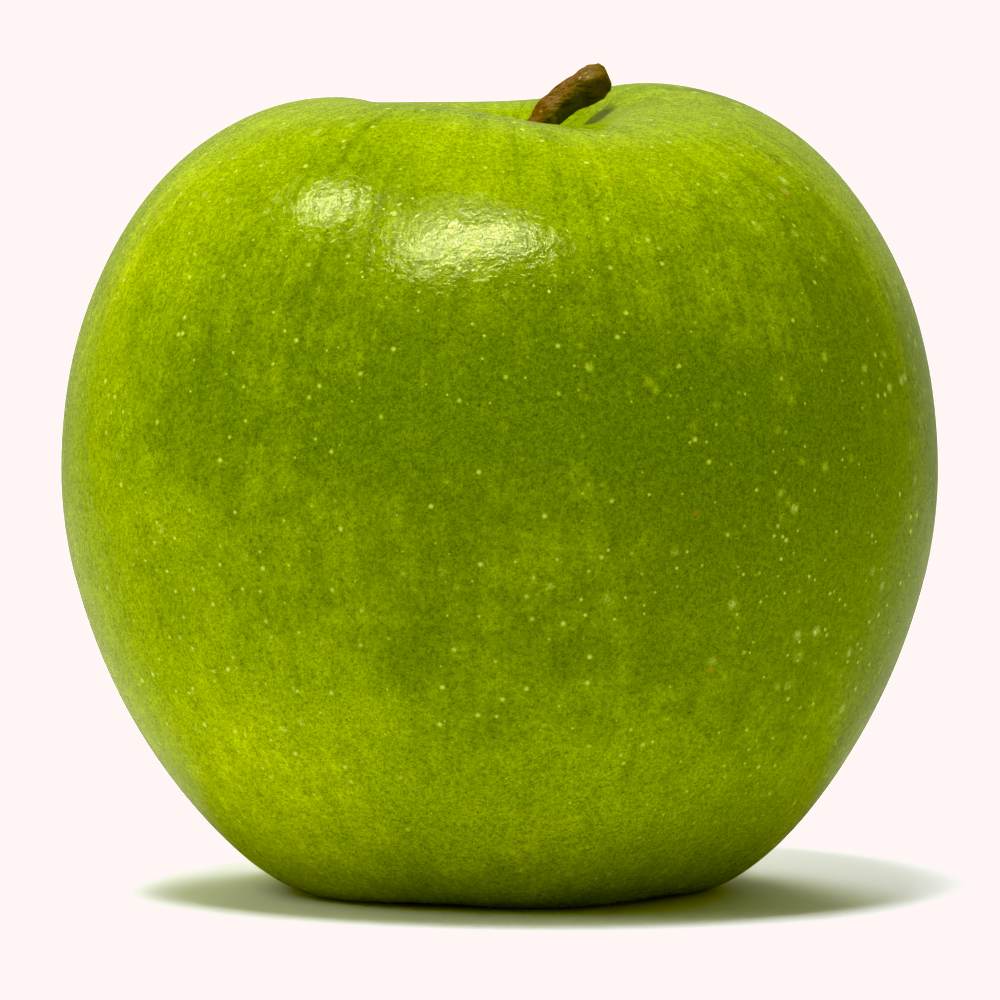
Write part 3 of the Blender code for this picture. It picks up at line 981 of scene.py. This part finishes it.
@dataclass
class Studio:
    """The pale floor, the soft light and the camera."""

    camera_distance: float = 1.518
    camera_elevation: float = 5.0
    aim_height: float = 0.0346
    metres_in_view: float = 0.089
    floor_size: float = 0.6
    floor_gap: float = 0.00003
    floor_colour: Colour = (0.90, 0.90, 0.90)
    floor_mirrored: Colour = (0.20, 0.20, 0.18)
    front_light: float = 0.05
    back_light: float = 0.90
    mirrored: float = 0.35
    backdrop: float = 1.3
    bright_from: float = 46.0
    bright_at: float = 90.0
    tones: tuple[tuple[Station, ...], ...] = (
        ((0.0, 0.0), (1.0, 1.0)), ((0.0, 0.0), (0.913, 0.913)), ((0.045, 0.0), (0.3, 0.21), (0.905, 0.905)))
    softboxes: tuple[Softbox, ...] = (
        Softbox("top_light", Role.FILL, (-0.13, -0.12, 1.0), 0.90, (0.36, 0.36), 16.0),
        Softbox("front_left_light", Role.FILL, (-0.75, -0.45, 0.75), 0.80, (0.30, 0.30), 1.5),
        Softbox("left_light", Role.FILL, (-1.0, -0.10, 0.04), 0.70, (0.30, 0.30), 0.25),
        Softbox("back_right_light", Role.FILL, (0.10, 0.90, 0.90), 0.80, (0.30, 0.30), 4.0),
        Softbox("key_glint", Role.GLINT, (-0.105, -0.42, 0.91), 0.60, (0.36, 0.026), 4.2, (1.0, 1.0, 0.6),
                roll=30.0),
        Softbox("small_glint", Role.GLINT, (-0.50, -0.02, 0.83), 0.62, (0.07, 0.07), 1.3, (1.0, 1.0, 0.6)),
    )

    def build_camera(self) -> bpy.types.Object:
        """A long lens, low and level with the fruit's front."""
        data = bpy.data.cameras.new("camera")
        data.sensor_width = 36.0
        data.lens = data.sensor_width * self.camera_distance / self.metres_in_view
        data.clip_end = 50.0
        camera = bpy.data.objects.new("camera", data)
        tilt = math.radians(self.camera_elevation)
        camera.location = (0.0, -self.camera_distance * math.cos(tilt),
                           self.aim_height + self.camera_distance * math.sin(tilt))
        camera.rotation_euler = (math.pi / 2.0 - tilt, 0.0, 0.0)
        bpy.context.scene.collection.objects.link(camera)
        bpy.context.scene.camera = camera
        return camera

    def build_floor(self) -> bpy.types.Object:
        """A wide pale surface under the apple."""
        shape = bmesh.new()
        bmesh.ops.create_grid(shape, x_segments=4, y_segments=4, size=self.floor_size / 2.0,
                              matrix=Matrix.Translation((0.0, 0.0, -self.floor_gap)))
        mesh = bpy.data.meshes.new("floor")
        shape.to_mesh(mesh)
        shape.free()
        material, sheet, shader, place = start_material("pale_floor")
        shader.inputs["Roughness"].default_value = 0.8
        shader.inputs["Specular IOR Level"].default_value = 0.1
        away = sheet.node("ShaderNodeVectorMath", operation="LENGTH")
        sheet.plug(away.inputs[0], place)
        path = sheet.node("ShaderNodeLightPath")
        mirrored = sheet.mix(path.outputs["Is Glossy Ray"], self.floor_colour, self.floor_mirrored)
        sheet.plug(shader.inputs["Base Color"], mirrored)
        far = sheet.remap(away.outputs["Value"], self.bright_from, self.bright_at)
        shader.inputs["Emission Color"].default_value = (1.0, 1.0, 1.0, 1.0)
        plain = sheet.math("SUBTRACT", 1.0, path.outputs["Is Glossy Ray"])
        sheet.plug(shader.inputs["Emission Strength"], sheet.math("MULTIPLY", far, plain))
        mesh.materials.append(material)
        floor = bpy.data.objects.new("floor", mesh)
        bpy.context.scene.collection.objects.link(floor)
        return floor

    def build_world(self) -> None:
        """Light from all round: bright behind the apple, dim in front of it."""
        world = bpy.data.worlds.new("studio")
        bpy.context.scene.world = world
        world.use_nodes = True
        sheet = NodeSheet(world.node_tree)
        coordinates = sheet.node("ShaderNodeTexCoord")
        parts = sheet.node("ShaderNodeSeparateXYZ")
        sheet.plug(parts.inputs[0], coordinates.outputs["Generated"])
        level = sheet.remap(parts.outputs[1], -0.35, 0.75, self.front_light, self.back_light)
        path = sheet.node("ShaderNodeLightPath")
        seen = sheet.math("MULTIPLY", path.outputs["Is Camera Ray"], self.backdrop)
        lit = sheet.math("MULTIPLY", sheet.math("SUBTRACT", 1.0, path.outputs["Is Camera Ray"]), level)
        lit = sheet.math("MULTIPLY", lit, sheet.remap(path.outputs["Is Glossy Ray"], 0.0, 1.0, 1.0, self.mirrored))
        background = world.node_tree.nodes["Background"]
        background.inputs["Color"].default_value = (1.0, 1.0, 1.0, 1.0)
        sheet.plug(background.inputs["Strength"], sheet.math("ADD", seen, lit))

    def grade(self) -> None:
        """Plain display colours, with a warm white as the brightest tone and deep yellow-green shadows."""
        view = bpy.context.scene.view_settings
        view.view_transform = "Standard"
        view.look = "None"
        view.use_curve_mapping = True
        mapping = view.curve_mapping
        mapping.extend = "HORIZONTAL"
        for channel, stations in enumerate(self.tones):
            curve = mapping.curves[channel]
            curve.points[0].location = stations[0]
            curve.points[1].location = stations[-1]
            for station in stations[1:-1]:
                curve.points.new(*station)
            for point in curve.points:
                point.handle_type = "VECTOR"
        mapping.update()

    def build(self) -> None:
        """Sets up everything round the apple."""
        self.build_camera()
        self.build_floor()
        self.build_world()
        for softbox in self.softboxes:
            softbox.build()
        self.grade()


# ---------------------------------------------------------------------------------------------------------------


def axis_offset(form: AppleForm, fruit: bpy.types.Object) -> Vector:
    """How far the fruit's own axis stands from the origin, in millimetres.

    Args:
        form: the fruit's form, whose axis is at 0 before it is moved.
        fruit: the finished fruit.

    Returns:
        The shift that the fruit was given.
    """
    steps = 720
    ring = [form.uneven(Vector((form.girth_radius * math.cos(math.tau * step / steps),
                                form.girth_radius * math.sin(math.tau * step / steps), form.girth_height)))
            for step in range(steps)]
    shift = Vector((0.0, 0.0, 0.0))
    for axis in range(2):
        places = [point[axis] for point in ring]
        node_places = [vert.co[axis] / MM for vert in fruit.data.vertices]
        shift[axis] = (min(node_places) + max(node_places)) / 2.0 - (min(places) + max(places)) / 2.0
    return shift


def main() -> None:
    """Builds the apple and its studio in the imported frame."""
    logging.basicConfig(level=logging.INFO, format="%(name)s: %(message)s")
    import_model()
    shared = SharedGroups()
    fruit = Fruit()
    skin = fruit.build(fruit.finish.material(shared))
    offset = axis_offset(fruit.form, skin)
    Stem(offset=offset).build(BarkFinish().material(shared))
    leaf = DriedFinish("dried_sepal", (0.105, 0.085, 0.035), (0.055, 0.036, 0.015), (0.34, 0.32, 0.20), 0.35)
    flower = DriedFinish("dried_filament", (0.075, 0.042, 0.016), (0.035, 0.020, 0.010), (0.20, 0.15, 0.08), 0.15)
    calyx = Calyx(offset=offset)
    leaf_material = leaf.material(shared)
    for number in range(1, calyx.sepal_count + 1):
        calyx.build_sepal(number, leaf_material)
    flower_material = flower.material(shared)
    calyx.build_stamens(flower_material)
    calyx.build_styles(flower_material)
    Studio().build()


if __name__ == "__main__":
    main()
